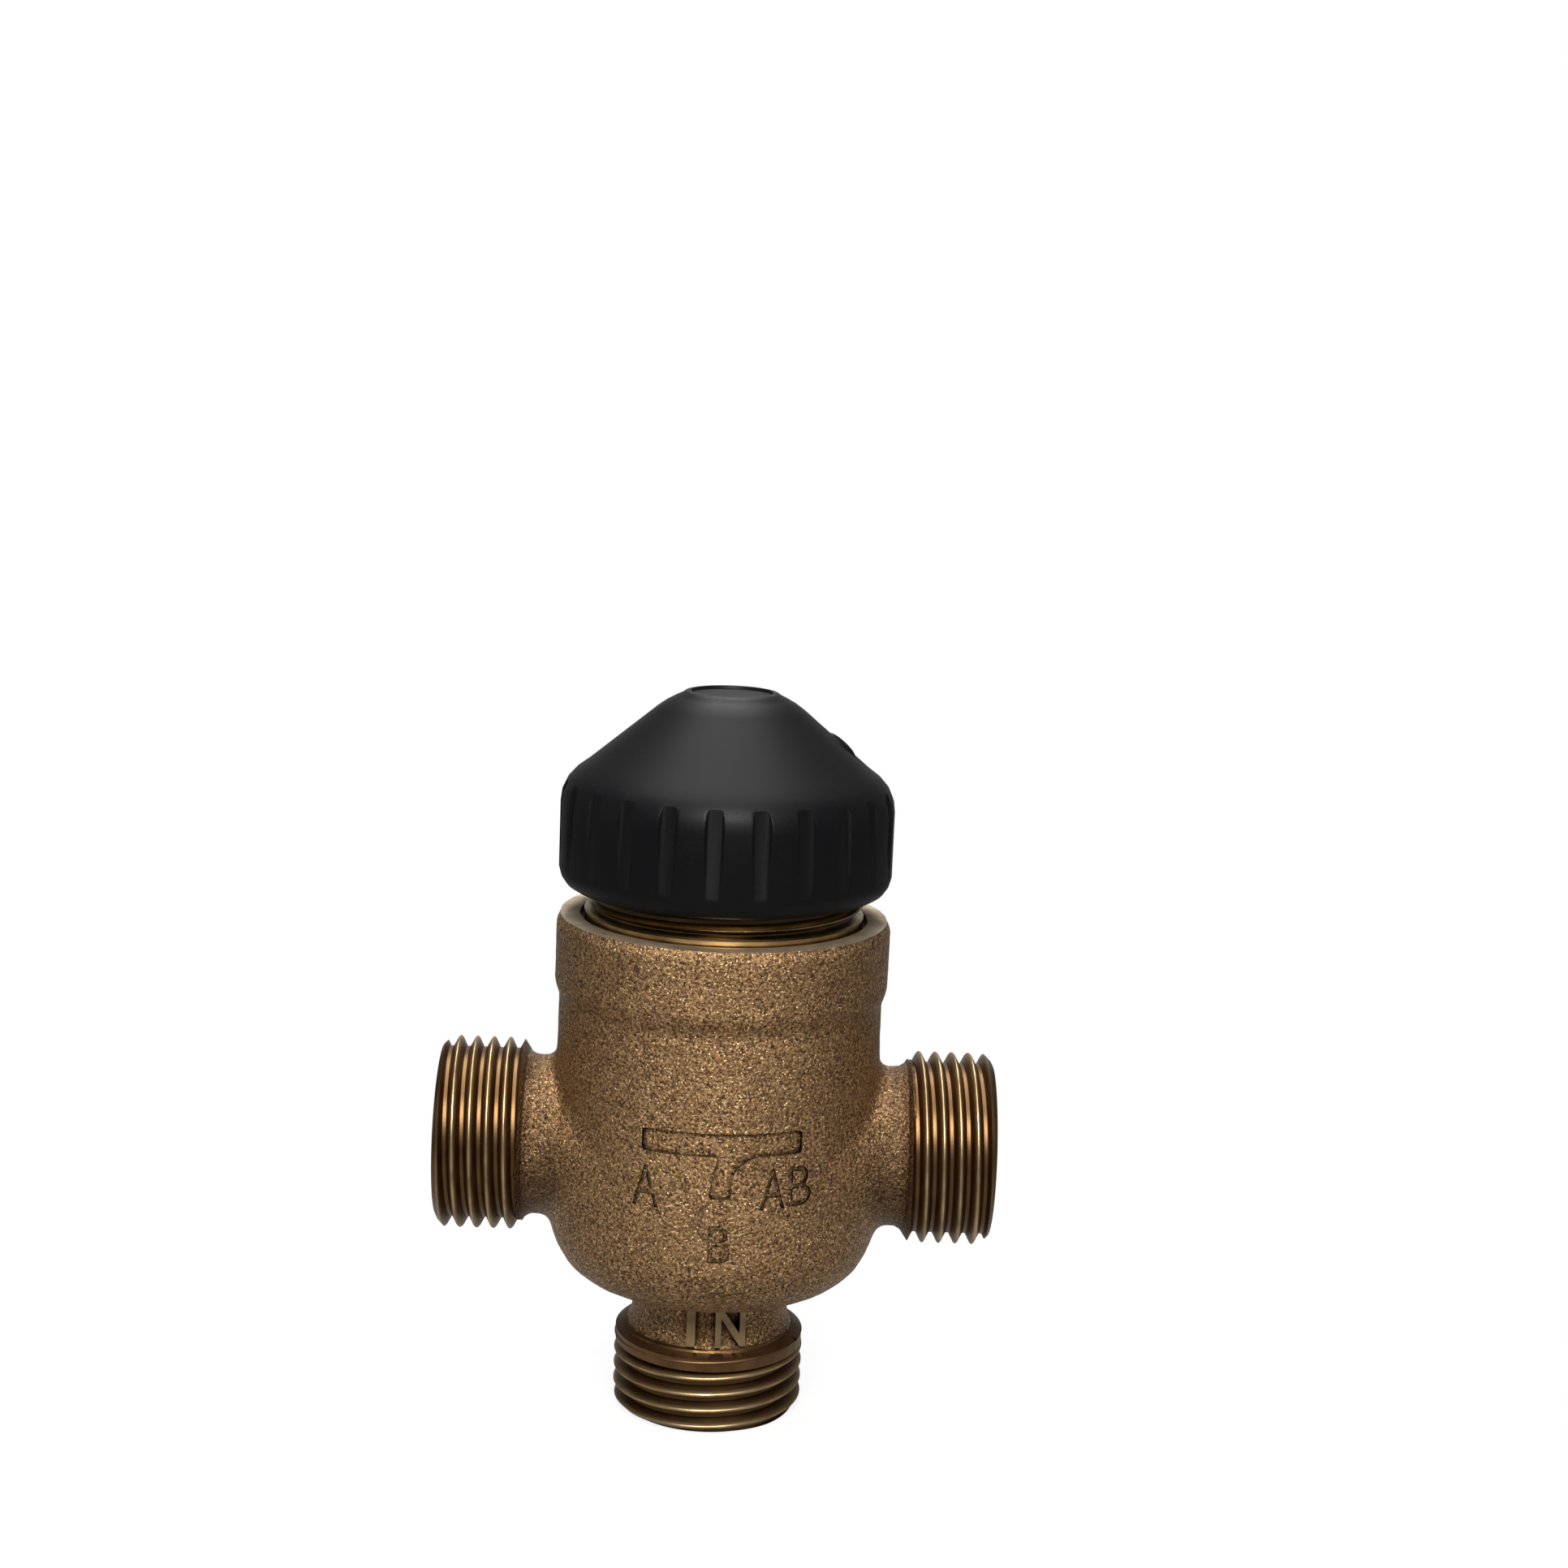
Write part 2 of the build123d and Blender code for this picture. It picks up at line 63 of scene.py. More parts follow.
# %% Small helpers
def start():
    """Leaves nothing selected."""
    if bpy.context.object and bpy.context.object.mode != "OBJECT":
        bpy.ops.object.mode_set(mode="OBJECT")
    bpy.ops.object.select_all(action="DESELECT")


def take(name):
    """Names the object that was just added and returns it."""
    obj = bpy.context.object
    obj.name = obj.data.name = name
    return obj


def choose(obj):
    """Makes one object the selected and active one."""
    start()
    obj.select_set(True)
    bpy.context.view_layer.objects.active = obj


def settle(obj):
    """Moves an object's place and turn into its mesh."""
    choose(obj)
    bpy.ops.object.transform_apply(location=True, rotation=True, scale=True)
    return obj


def block(name, low, high):
    """A box between two corners given in millimetres."""
    start()
    bpy.ops.mesh.primitive_cube_add(size=MM, location=[(a + b) / 2 * MM for a, b in zip(low, high)])
    obj = take(name)
    obj.scale = [b - a for a, b in zip(low, high)]
    return settle(obj)


def modify(obj, kind, **settings):
    """Adds a modifier, sets it and applies it."""
    choose(obj)
    modifier = obj.modifiers.new(kind.title(), kind)
    for key, value in settings.items():
        setattr(modifier, key, value)
    bpy.ops.object.modifier_apply(modifier=modifier.name)


def combine(obj, tool, how):
    """Joins a tool to a piece, or cuts it away, and removes the tool."""
    modify(obj, "BOOLEAN", object=tool, operation=how, solver="MANIFOLD")
    bpy.data.objects.remove(tool)


def outwards(obj):
    """Merges doubled points and turns every face outwards."""
    choose(obj)
    bpy.ops.object.mode_set(mode="EDIT")
    bpy.ops.mesh.select_all(action="SELECT")
    bpy.ops.mesh.remove_doubles(threshold=1e-6)
    bpy.ops.mesh.normals_make_consistent(inside=False)
    bpy.ops.object.mode_set(mode="OBJECT")
    return obj


# %% [markdown]
# ## Turning a piece
# Most of this valve was cut on a lathe, or cast round an axis. A hand modeller would add a
# circle, extrude it up and scale the new ring, again and again, following the section. This
# helper does that from a list of radius and height, in millimetres, and closes both ends. A
# stretch that is round in section is given as a quarter of a circle by `rounding`.

# %% Turned pieces
def turned(name, outline, steps=192, hollow=False):
    """Extrudes and scales a circle along an outline of (radius, height) in millimetres."""
    (first_radius, first_height), rest = outline[0], outline[1:]
    start()
    bpy.ops.mesh.primitive_circle_add(
        vertices=steps,
        radius=first_radius * MM,
        fill_type="NOTHING" if hollow else "NGON",
        location=(0, 0, first_height * MM),
    )
    obj = settle(take(name))
    bpy.ops.object.mode_set(mode="EDIT")
    bpy.ops.mesh.select_all(action="SELECT")
    radius, height = first_radius, first_height
    for next_radius, next_height in rest:
        rise = (next_height - height) * MM
        grow = next_radius / radius
        bpy.ops.mesh.extrude_region_move(TRANSFORM_OT_translate={"value": (0, 0, rise)})
        bpy.ops.transform.resize(value=(grow, grow, 1), center_override=(0, 0, next_height * MM))
        radius, height = next_radius, next_height
    if hollow:
        bpy.ops.mesh.select_all(action="DESELECT")
        bpy.ops.mesh.select_non_manifold()
        bpy.ops.mesh.bridge_edge_loops()
    bpy.ops.object.mode_set(mode="OBJECT")
    return outwards(obj)


def rounding(centre, radius, first, last, steps=6):
    """Points of an arc in a section, its angles in degrees from the outward direction."""
    turns = [radians(first + (last - first) * k / steps) for k in range(steps + 1)]
    return [(centre[0] + radius * cos(a), centre[1] + radius * sin(a)) for a in turns]


# %% [markdown]
# ## Helical threads
# A thread is a ridge wound round a core. The ridge starts as a plane standing on the core's
# surface. Its outer edge is narrowed to the crest and rounded by a bevel, and a screw modifier
# winds it up by one pitch for each turn. Joined to the core, and cut to length by a chamfered
# blank, it gives the shallow run-in that real threads have.

# %% Threaded rods
RIDGE_SUNK = 0.25       # how far a ridge reaches into its core, in millimetres
FOOT_SHARE = 0.94       # width of a ridge's foot, over the pitch
CREST_SHARE = 0.12      # least width of its crest, over the pitch
ROUND_SHARE = 0.09      # rounding of its corners, over the pitch


def thread_ridge(name, root, crest, pitch, flank, base, turns, steps=128):
    """Winds a rounded V round the upright axis. Sizes in millimetres, flank in degrees."""
    depth = crest - root + RIDGE_SUNK
    middle = (root + crest - RIDGE_SUNK) / 2 * MM
    start()
    bpy.ops.mesh.primitive_plane_add(
        size=MM, location=(middle, 0, base * MM), rotation=(pi / 2, 0, 0)
    )
    ridge = take(name)
    foot = pitch * FOOT_SHARE
    ridge.scale = (depth, foot, 1)
    settle(ridge)
    bpy.ops.object.mode_set(mode="EDIT")
    bpy.ops.mesh.select_all(action="DESELECT")
    bpy.ops.object.mode_set(mode="OBJECT")
    for point in ridge.data.vertices:
        point.select = point.co.x > middle
    crest_width = max(CREST_SHARE * pitch, foot - 2 * depth * tan(radians(flank)))
    bpy.ops.object.mode_set(mode="EDIT")
    bpy.ops.transform.resize(
        value=(1, 1, crest_width / foot), center_override=(crest * MM, 0, base * MM)
    )
    bpy.ops.mesh.bevel(offset=ROUND_SHARE * pitch * MM, segments=3, affect="VERTICES")
    bpy.ops.mesh.select_all(action="SELECT")
    bpy.ops.mesh.delete(type="ONLY_FACE")
    bpy.ops.object.mode_set(mode="OBJECT")
    modify(
        ridge, "SCREW",
        angle=2 * pi, screw_offset=pitch * MM, iterations=turns, steps=steps, render_steps=steps,
        axis="Z", use_merge_vertices=False,
    )
    bpy.ops.object.mode_set(mode="EDIT")
    bpy.ops.mesh.select_all(action="SELECT")
    bpy.ops.mesh.fill_holes(sides=0)
    bpy.ops.object.mode_set(mode="OBJECT")
    return outwards(ridge)


def threaded(name, blank, root, crest, pitch, flank, length, phase, steps=128):
    """A core and a ridge, cut to the form of a chamfered blank."""
    low = min(height for radius, height in blank)
    turns = int(length / pitch) + 3
    rod = turned(name, [(root, low - 2 * pitch), (root, low + length + pitch)], steps)
    start_height = low - 1.2 * pitch
    ridge = thread_ridge(name + "_ridge", root, crest, pitch, flank, start_height, turns, steps)
    ridge.rotation_euler = (0, 0, radians(phase))
    settle(ridge)
    combine(rod, ridge, "UNION")
    mould = turned(name + "_mould", blank, steps)
    combine(rod, mould, "INTERSECT")
    return rod


# %% [markdown]
# ## Where the sizes come from
# The casting's main sizes are read from the frame, so the dressed pieces stay where the packed
# ones are. The rest are the object's own sizes in millimetres, named as they are used.

# %% Sizes read from the frame
body_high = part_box("valve_body")[1]
cap_low, cap_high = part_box("screw_cap")
bonnet_low, bonnet_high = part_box("bonnet")
REACH = body_high.x / MM
RIM = body_high.z / MM
BAND_RADIUS = body_high.y / MM
CAP_BASE, CAP_TOP = cap_low.z / MM, cap_high.z / MM
PORT_HEIGHT = 30.0
print(f"reach {REACH:.1f} mm, rim at {RIM:.1f} mm, cap {CAP_BASE:.1f} to {CAP_TOP:.1f} mm")

# %% [markdown]
# ## The casting
# The body is sand-cast bronze: one lump with soft corners, on which only the threads, the rim
# and the bores are machined. It is made the same way round. A turned barrel and three necks are
# joined, with a saddle where each side neck spreads into the barrel. Then they are remeshed into
# an even skin whose joints are smoothed like the fillets of a pattern, and roughened. Only then
# do sharp tools cut the machined faces.

# %% The rough casting
WIDE_RADIUS, WAIST_RADIUS = 17.95, 17.45
BOWL_FLOOR, BOWL_RADIUS = 14.8, 7.0
NECK_RADIUS = 8.6
THREAD_LENGTH = 8.6
NECK_FLARE = 1.7
WAIST_TOP = 46.4
casting = turned(
    "valve_casting",
    [(WIDE_RADIUS - BOWL_RADIUS, BOWL_FLOOR)]
    + rounding((WIDE_RADIUS - BOWL_RADIUS, BOWL_FLOOR + BOWL_RADIUS), BOWL_RADIUS, -90, 0, 8)[1:]
    + [
        (WAIST_RADIUS, WAIST_TOP),
        (BAND_RADIUS - 0.1, 47.7),
        (BAND_RADIUS, 48.3),
        (BAND_RADIUS, RIM - 0.9),
        (BAND_RADIUS - 0.45, RIM + 0.1),
        (BAND_RADIUS - 0.5, RIM + 1.5),
    ],
)
neck_outline = [
    (9.7, THREAD_LENGTH),
    (9.1, THREAD_LENGTH + 0.5 * NECK_FLARE),
    (NECK_RADIUS, THREAD_LENGTH + NECK_FLARE),
    (NECK_RADIUS, 24.0),
]
PORTS = {
    "a": Matrix.Translation((-REACH * MM, 0, PORT_HEIGHT * MM)) @ Matrix.Rotation(pi / 2, 4, "Y"),
    "ab": Matrix.Translation((REACH * MM, 0, PORT_HEIGHT * MM)) @ Matrix.Rotation(-pi / 2, 4, "Y"),
    "b": Matrix.Identity(4),
}
SADDLE_DROP, SADDLE_SQUASH = 0.7, 0.84
saddle_outline = [(8.6, 9.8), (9.0, 11.4), (9.9, 13.2), (11.4, 15.4), (13.6, 18.4)]
for port, place in PORTS.items():
    neck = turned("neck_" + port, neck_outline, 96)
    neck.matrix_world = place
    combine(casting, settle(neck), "UNION")
    if port != "b":
        saddle = turned("saddle_" + port, saddle_outline, 96)
        saddle.matrix_world = place
        settle(saddle)
        saddle.matrix_world = (
            Matrix.Translation((0, 0, (PORT_HEIGHT - SADDLE_DROP) * MM))
            @ Matrix.Diagonal((1, 1, SADDLE_SQUASH, 1))
            @ Matrix.Translation((0, 0, -PORT_HEIGHT * MM))
        )
        combine(casting, settle(saddle), "UNION")
print("rough casting:", len(casting.data.polygons), "faces")

# %% [markdown]
# The remesh gives small even squares. Smoothing only the points near the joints rounds them
# like the pattern's fillets, and two clouds of noise push the skin by a few hundredths of a
# millimetre: long waves from the mould, short ones from the sand.

# %% Even skin, fillets and sand
GRAIN_GRID = 0.34


def placed(point):
    """A point in millimetres, then its distance from the stem's axis and the side ports' axis."""
    x, y, z = (value / MM for value in point)
    return x, y, z, (x * x + y * y) ** 0.5, (y * y + (z - PORT_HEIGHT) ** 2) ** 0.5


modify(casting, "REMESH", mode="VOXEL", voxel_size=GRAIN_GRID * MM, use_smooth_shade=True)
choose(casting)
for point in casting.data.vertices:
    x, y, z, off_stem, off_side = placed(point.co)
    at_side = 12.0 < abs(x) < 19.8 and 7.6 < off_side < 13.5
    at_bowl = 12.6 < z < 15.6 and off_stem < 11.6
    point.select = at_side or at_bowl
bpy.ops.object.mode_set(mode="EDIT")
bpy.ops.mesh.vertices_smooth(factor=0.5, repeat=40)
bpy.ops.object.mode_set(mode="OBJECT")
for size, depth in ((5.0, 0.16), (0.9, 0.07)):
    clouds = bpy.data.textures.new("sand", "CLOUDS")
    clouds.noise_scale = size * MM
    modify(
        casting, "DISPLACE",
        texture=clouds, texture_coords="LOCAL", strength=depth * MM, mid_level=0.5,
    )
print("cast skin:", len(casting.data.polygons), "faces")

# %% [markdown]
# ## Port threads
# The three ports carry half-inch pipe threads: a 55 degree V, 1.814 mm a turn, rounded at crest
# and root. They are turned from the same casting, so each is made as a rod and joined to it.
# `PIPE_PHASE` turns a ridge about its port, so that its run-in lies where it does on the valve.
# Above the lowest thread a plain shoulder is left.

# %% Pipe threads on the ports
PIPE_PITCH = 1.8143
PIPE_FLANK = 27.5
PIPE_CREST = 10.4
PIPE_ROOT = PIPE_CREST - 0.64 * PIPE_PITCH
PIPE_CHAMFER = 0.9
PIPE_PHASE = {"a": 115, "ab": 160, "b": 0}
pipe_blank = [
    (PIPE_CREST - PIPE_CHAMFER, 0),
    (PIPE_CREST, PIPE_CHAMFER),
    (PIPE_CREST, THREAD_LENGTH),
    (PIPE_ROOT, THREAD_LENGTH + 0.8),
]
for port, place in PORTS.items():
    rod = threaded(
        "thread_" + port, pipe_blank, PIPE_ROOT, PIPE_CREST, PIPE_PITCH, PIPE_FLANK,
        THREAD_LENGTH, PIPE_PHASE[port],
    )
    rod.matrix_world = place
    combine(casting, settle(rod), "UNION")
shoulder = turned("thread_shoulder", [(9.0, 6.6), (10.3, 7.3), (10.3, 8.6), (8.5, 9.4)])
combine(casting, shoulder, "UNION")
print("with threads:", len(casting.data.polygons), "faces")

# %% [markdown]
# ## Machined faces and bores
# Each cut is a turned tool of the bore's own size, taken away from the casting. The riser, which
# lifts port A over the web of the upper seat, is a curved slot, cut by a ring segment.

# %% Cuts
PORT_BORE = 5.5
bores = [
    turned("rim_cut", [(30, RIM), (30, RIM + 5)], 64),
    turned("counterbore", [(15.5, RIM - 0.8), (15.5, RIM + 2)]),
    turned("bonnet_bore", [(13.4, 38.5), (13.4, RIM)]),
    turned("septum_bore", [(7.8, 35.0), (7.8, 39.0)]),
    turned("chamber", [(9.5, 24.0), (9.5, 35.8)]),
    turned("lower_bore", [(PORT_BORE, -1.0), (PORT_BORE, 20.9), (5.2, 20.91), (5.2, 25.0)]),
]
side_bore = {"a": 17.35, "ab": 22.1}
for port, depth in side_bore.items():
    bore = turned("bore_" + port, [(PORT_BORE, -1.0), (PORT_BORE, depth)])
    bore.matrix_world = PORTS[port]
    bores.append(settle(bore))
RISER_HALF_ANGLE = 32
riser = turned(
    "riser", [(11.3, 24.5), (15.6, 24.5), (15.6, 43.4), (11.3, 43.4)], 128, hollow=True
)
for side in (-1, 1):
    spare = block("spare", (-30, 0, 20), (30, 30, 50))
    spare.rotation_euler.z = pi * (side < 0) - side * radians(RISER_HALF_ANGLE)
    combine(riser, settle(spare), "DIFFERENCE")
for bore in bores + [riser]:
    combine(casting, bore, "DIFFERENCE")
print("machined casting:", len(casting.data.polygons), "faces")

# %% [markdown]
# ## Marks in the casting
# The pattern carries a sunk flow symbol and the usual port letters, and raised letters on the
# lower neck. Each mark is a straight block that runs towards the viewer. A core of nearly the
# barrel's radius is taken from the sunk ones, so they cut to one depth all along the curve. The
# raised ones are cut to a cone that stands just proud of the neck.

# %% Flow symbol and letters
MARK_MIDDLE, MARK_HALF = -14, 8
SYMBOL_DEPTH, LETTER_DEPTH = 0.45, 0.25


def letter(glyph, low, high, thicken=0.0):
    """A letter in Blender's own font, between two corners (x, height) in the casting's front."""
    start()
    bpy.ops.object.text_add(rotation=(pi / 2, 0, 0))
    obj = take("letter_" + glyph)
    obj.data.body = glyph
    obj.data.offset = thicken
    obj.data.extrude = 1.0
    bpy.ops.object.convert(target="MESH")
    obj = outwards(settle(bpy.context.object))
    corners = [Vector(corner) for corner in obj.bound_box]
    near, far = corners[0], corners[6]
    wide, tall = (high[0] - low[0]) * MM, (high[1] - low[1]) * MM
    obj.scale = (wide / (far.x - near.x), MARK_HALF * MM, tall / (far.z - near.z))
    obj.location = (
        low[0] * MM - near.x * obj.scale.x,
        MARK_MIDDLE * MM,
        low[1] * MM - near.z * obj.scale.z,
    )
    return settle(obj)


bar = block("flow_symbol", (-7.6, -22, 33.7), (9.0, -6, 36.2))
modify(bar, "BEVEL", width=0.5 * MM, segments=4, limit_method="ANGLE")
branch = block("branch", (-0.6, -21.5, 29.2), (1.8, -6.5, 35.0))
for point in branch.data.vertices:
    if point.co.x < 0 and point.co.z > 32 * MM:
        point.co.x += 1.1 * MM
modify(branch, "BEVEL", width=0.5 * MM, segments=4, limit_method="ANGLE")
bend = block("bend", (1.2, -21, 30.6), (4.9, -7, 34.4))
bpy.ops.mesh.primitive_cylinder_add(
    vertices=64, radius=3.1 * MM, depth=40 * MM,
    location=(4.9 * MM, MARK_MIDDLE * MM, 30.6 * MM), rotation=(pi / 2, 0, 0),
)
combine(bend, settle(take("bend_round")), "DIFFERENCE")
combine(bar, branch, "UNION")
combine(bar, bend, "UNION")
sunk_marks = [
    bar,
    letter("A", (-8.4, 27.8), (-5.7, 32.3)),
    letter("A", (4.8, 28.0), (7.4, 32.4)),
    letter("B", (7.7, 28.1), (10.1, 32.4)),
    letter("B", (-0.4, 22.4), (1.9, 26.4)),
]
for mark in sunk_marks:
    depth = SYMBOL_DEPTH if mark is bar else LETTER_DEPTH
    wide, waist = WIDE_RADIUS - depth, WAIST_RADIUS - depth
    combine(mark, turned("core", [(wide, 10.0), (wide, 21.8), (waist, WAIST_TOP)]), "DIFFERENCE")
    combine(casting, mark, "DIFFERENCE")
raised_marks = {"I": ((-2.35, 9.7), (-1.4, 14.4)), "N": ((0.75, 9.7), (4.0, 14.4))}
for glyph, (low, high) in raised_marks.items():
    mark = letter(glyph, low, high, thicken=0.02)
    combine(mark, turned("neck_core", [(9.55, 9.0), (9.35, 13.0), (9.7, 15.0)], 96), "INTERSECT")
    combine(casting, mark, "UNION")
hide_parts("valve_body")
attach(casting, "casing")
print("marked casting:", len(casting.data.polygons), "faces")

# %% [markdown]
# ## The bonnet
# The brass bonnet is turned from bar. All that shows of it is its collar, which sits in the
# casting's counterbore, and the first turns of its fine metric thread, where the cap stops
# short. The thread is cut like the pipe threads, with a 60 degree V and a pitch of 1.5 mm.

# %% The bonnet and its thread
BONNET_BASE = bonnet_low.z / MM
BONNET_TOP = bonnet_high.z / MM
COLLAR_BASE, COLLAR_TOP = RIM - 0.8, 56.0
FINE_PITCH = 1.5
FINE_FLANK = 30
FINE_CREST = 15.0
FINE_ROOT = FINE_CREST - 0.6 * FINE_PITCH
SCREWED = 13.35
fine_blank = [
    (FINE_ROOT + 0.1, 0),
    (FINE_ROOT + 0.1, 0.35),
    (FINE_CREST, 0.9),
    (FINE_CREST, BONNET_TOP - COLLAR_TOP - 0.9),
    (FINE_ROOT, BONNET_TOP - COLLAR_TOP),
]
bonnet = threaded(
    "turned_bonnet", fine_blank, FINE_ROOT, FINE_CREST, FINE_PITCH, FINE_FLANK,
    BONNET_TOP - COLLAR_TOP, 0, 160,
)
bonnet.location.z = COLLAR_TOP * MM
settle(bonnet)
below = turned(
    "bonnet_below",
    [
        (SCREWED - 0.5, BONNET_BASE),
        (SCREWED, BONNET_BASE + 0.5),
        (SCREWED, 47.2),
        (SCREWED - 1.6, 47.21),
        (SCREWED - 1.6, 48.9),
        (SCREWED, 48.91),
        (SCREWED, COLLAR_BASE),
        (15.0, COLLAR_BASE + 0.01),
        (15.05, COLLAR_BASE + 0.1),
        (15.05, COLLAR_TOP - 0.2),
        (14.85, COLLAR_TOP),
        (14.0, COLLAR_TOP + 0.2),
    ],
    192,
)
combine(bonnet, below, "UNION")
for bore in (
    turned("spring_room", [(9.35, 43.0), (9.35, 45.6), (8.4, 45.61), (8.4, 55.4)], 96),
    turned("stem_room", [(2.1, 50.0), (2.1, 58.0)], 48),
    turned("packing_room", [(4.0, 57.2), (4.0, 62.0)], 64),
    turned("gland_room", [(7.0, 61.0), (7.0, 68.0)], 96),
):
    combine(bonnet, bore, "DIFFERENCE")
slot_cutter = block("spanner_slot", (-20, -1.5, BONNET_TOP - 2), (20, 1.5, BONNET_TOP + 2))
combine(bonnet, slot_cutter, "DIFFERENCE")
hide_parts("bonnet")
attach(bonnet, "casing")
print("bonnet:", len(bonnet.data.polygons), "faces")

# %% [markdown]
# ## The hand cap
# The cap is moulded in black ABS. Its outside is a fluted grip under a cone with a soft
# shoulder. The flutes are deepest under the shoulder and fade out before the lower edge, because
# the mould draws off downwards, so the cutter leans outwards a little.

# %% The cap's shell
GRIP_RADIUS = 17.9
SHOULDER = 68.0
cap = turned(
    "moulded_cap",
    [(16.6, CAP_BASE), (17.2, CAP_BASE + 0.35), (17.65, CAP_BASE + 1.0)]
    + [(GRIP_RADIUS, CAP_BASE + 1.9), (GRIP_RADIUS, SHOULDER - 0.6)]
    + [(17.75, SHOULDER + 0.6), (17.2, SHOULDER + 1.8)]
    + [(16.35, SHOULDER + 2.75), (15.2, SHOULDER + 3.6), (7.9, 77.75)]
    + [(7.0, 78.4), (6.1, 78.9), (5.3, 79.3), (4.95, CAP_TOP - 0.05), (4.75, CAP_TOP)]
    + [(4.4, CAP_TOP), (4.35, CAP_TOP - 0.3), (4.2, CAP_TOP - 0.35)],
    230,
)
print("cap blank:", len(cap.data.polygons), "faces")

# %% [markdown]
# One cutter is modelled and copied round the grip. It is a block with its inner edges rounded,
# leaning so that it leaves the surface at the bottom of the flute.

# %% Flutes, hollow, boss and ribs
FLUTE_COUNT = 23
FLUTE_WIDTH = 2.0
FLUTE_DEPTH = 0.6
FLUTE_FOOT = 60.6
FLUTE_LENGTH = 20.0
FLUTE_PHASE = radians(-4.05 - 90)
half = Vector((3, FLUTE_WIDTH, FLUTE_LENGTH)) / 2
flute = block("flute", -half, half)
bpy.ops.object.mode_set(mode="EDIT")
bpy.ops.mesh.select_all(action="DESELECT")
bpy.ops.object.mode_set(mode="OBJECT")
for edge in flute.data.edges:
    ends = [flute.data.vertices[k].co for k in edge.vertices]
    edge.select = all(end.x < 0 for end in ends) and abs(ends[0].y - ends[1].y) < 1e-6
bpy.ops.object.mode_set(mode="EDIT")
bpy.ops.mesh.bevel(offset=0.45 * MM, segments=3)
bpy.ops.object.mode_set(mode="OBJECT")
lean = atan(FLUTE_DEPTH / (SHOULDER - FLUTE_FOOT))
stand = Matrix.Translation(((GRIP_RADIUS + 1.5) * MM, 0, FLUTE_FOOT * MM))
stand = stand @ Matrix.Rotation(-lean, 4, "Y") @ Matrix.Translation((0, 0, FLUTE_LENGTH / 2 * MM))
for number in range(FLUTE_COUNT):
    angle = FLUTE_PHASE + 2 * pi * number / FLUTE_COUNT
    cutter = flute.copy()
    cutter.data = flute.data.copy()
    bpy.context.collection.objects.link(cutter)
    cutter.matrix_world = Matrix.Rotation(angle, 4, "Z") @ stand
    combine(cap, settle(cutter), "DIFFERENCE")
bpy.data.objects.remove(flute)

CAP_BORE = 15.1
BORE_TOP, ROOF, ROOF_RADIUS = 68.57, 77.05, 5.34
BOSS_RADIUS, BOSS_FOOT = 3.2, 69.52
RIB_FOOT = 70.0
hollow = turned(
    "cap_hollow",
    [(CAP_BORE + 0.4, CAP_BASE - 1), (CAP_BORE + 0.4, CAP_BASE), (CAP_BORE, CAP_BASE + 0.5)]
    + [(CAP_BORE, BORE_TOP), (ROOF_RADIUS, ROOF)],
    128,
)
ribs = turned("boss_and_ribs", [(BOSS_RADIUS, BOSS_FOOT), (BOSS_RADIUS, ROOF + 1)], 64)
for number in range(3):
    rib = block("rib", (-CAP_BORE, -0.6, RIB_FOOT), (CAP_BORE, 0.6, RIB_FOOT + 10))
    rib.rotation_euler.z = pi * number / 3
    combine(ribs, settle(rib), "UNION")
skin = turned(
    "inside_of_shell",
    [(CAP_BORE + 0.3, BOSS_FOOT - 4), (CAP_BORE + 0.3, BORE_TOP), (ROOF_RADIUS + 0.3, ROOF + 0.3)],
    128,
)
combine(ribs, skin, "INTERSECT")
combine(cap, hollow, "DIFFERENCE")
combine(cap, ribs, "UNION")
print("fluted cap:", len(cap.data.polygons), "faces")

# %% [markdown]
# A moulding has no truly sharp edge, and the thin bright line along each flute comes from that
# small rounding. A bevel on the sharp edges gives it. The pointer is half of a flat ellipsoid
# that lies on the cone, on the side of port AB.

# %% Rounded edges and the pointer
CONE_LEAN = atan((78 - 71.4) / (15.2 - 7.6))
SHARP_EDGE = radians(32)
start()
bpy.ops.mesh.primitive_uv_sphere_add(segments=48, ring_count=24, radius=MM, location=(0, 0, 0))
pointer = take("pointer")
pointer.scale = (1.9, 1.0, 0.45)
pointer.location = (11.95 * MM, 0, 74.25 * MM)
pointer.rotation_euler.y = CONE_LEAN
combine(cap, settle(pointer), "UNION")
modify(
    cap, "BEVEL",
    width=0.12 * MM, segments=2, limit_method="ANGLE", angle_limit=SHARP_EDGE,
    use_clamp_overlap=True,
)
choose(cap)
bpy.ops.object.shade_smooth_by_angle(angle=SHARP_EDGE)
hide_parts("screw_cap")
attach(cap, "cap")
print("finished cap:", len(cap.data.polygons), "faces")
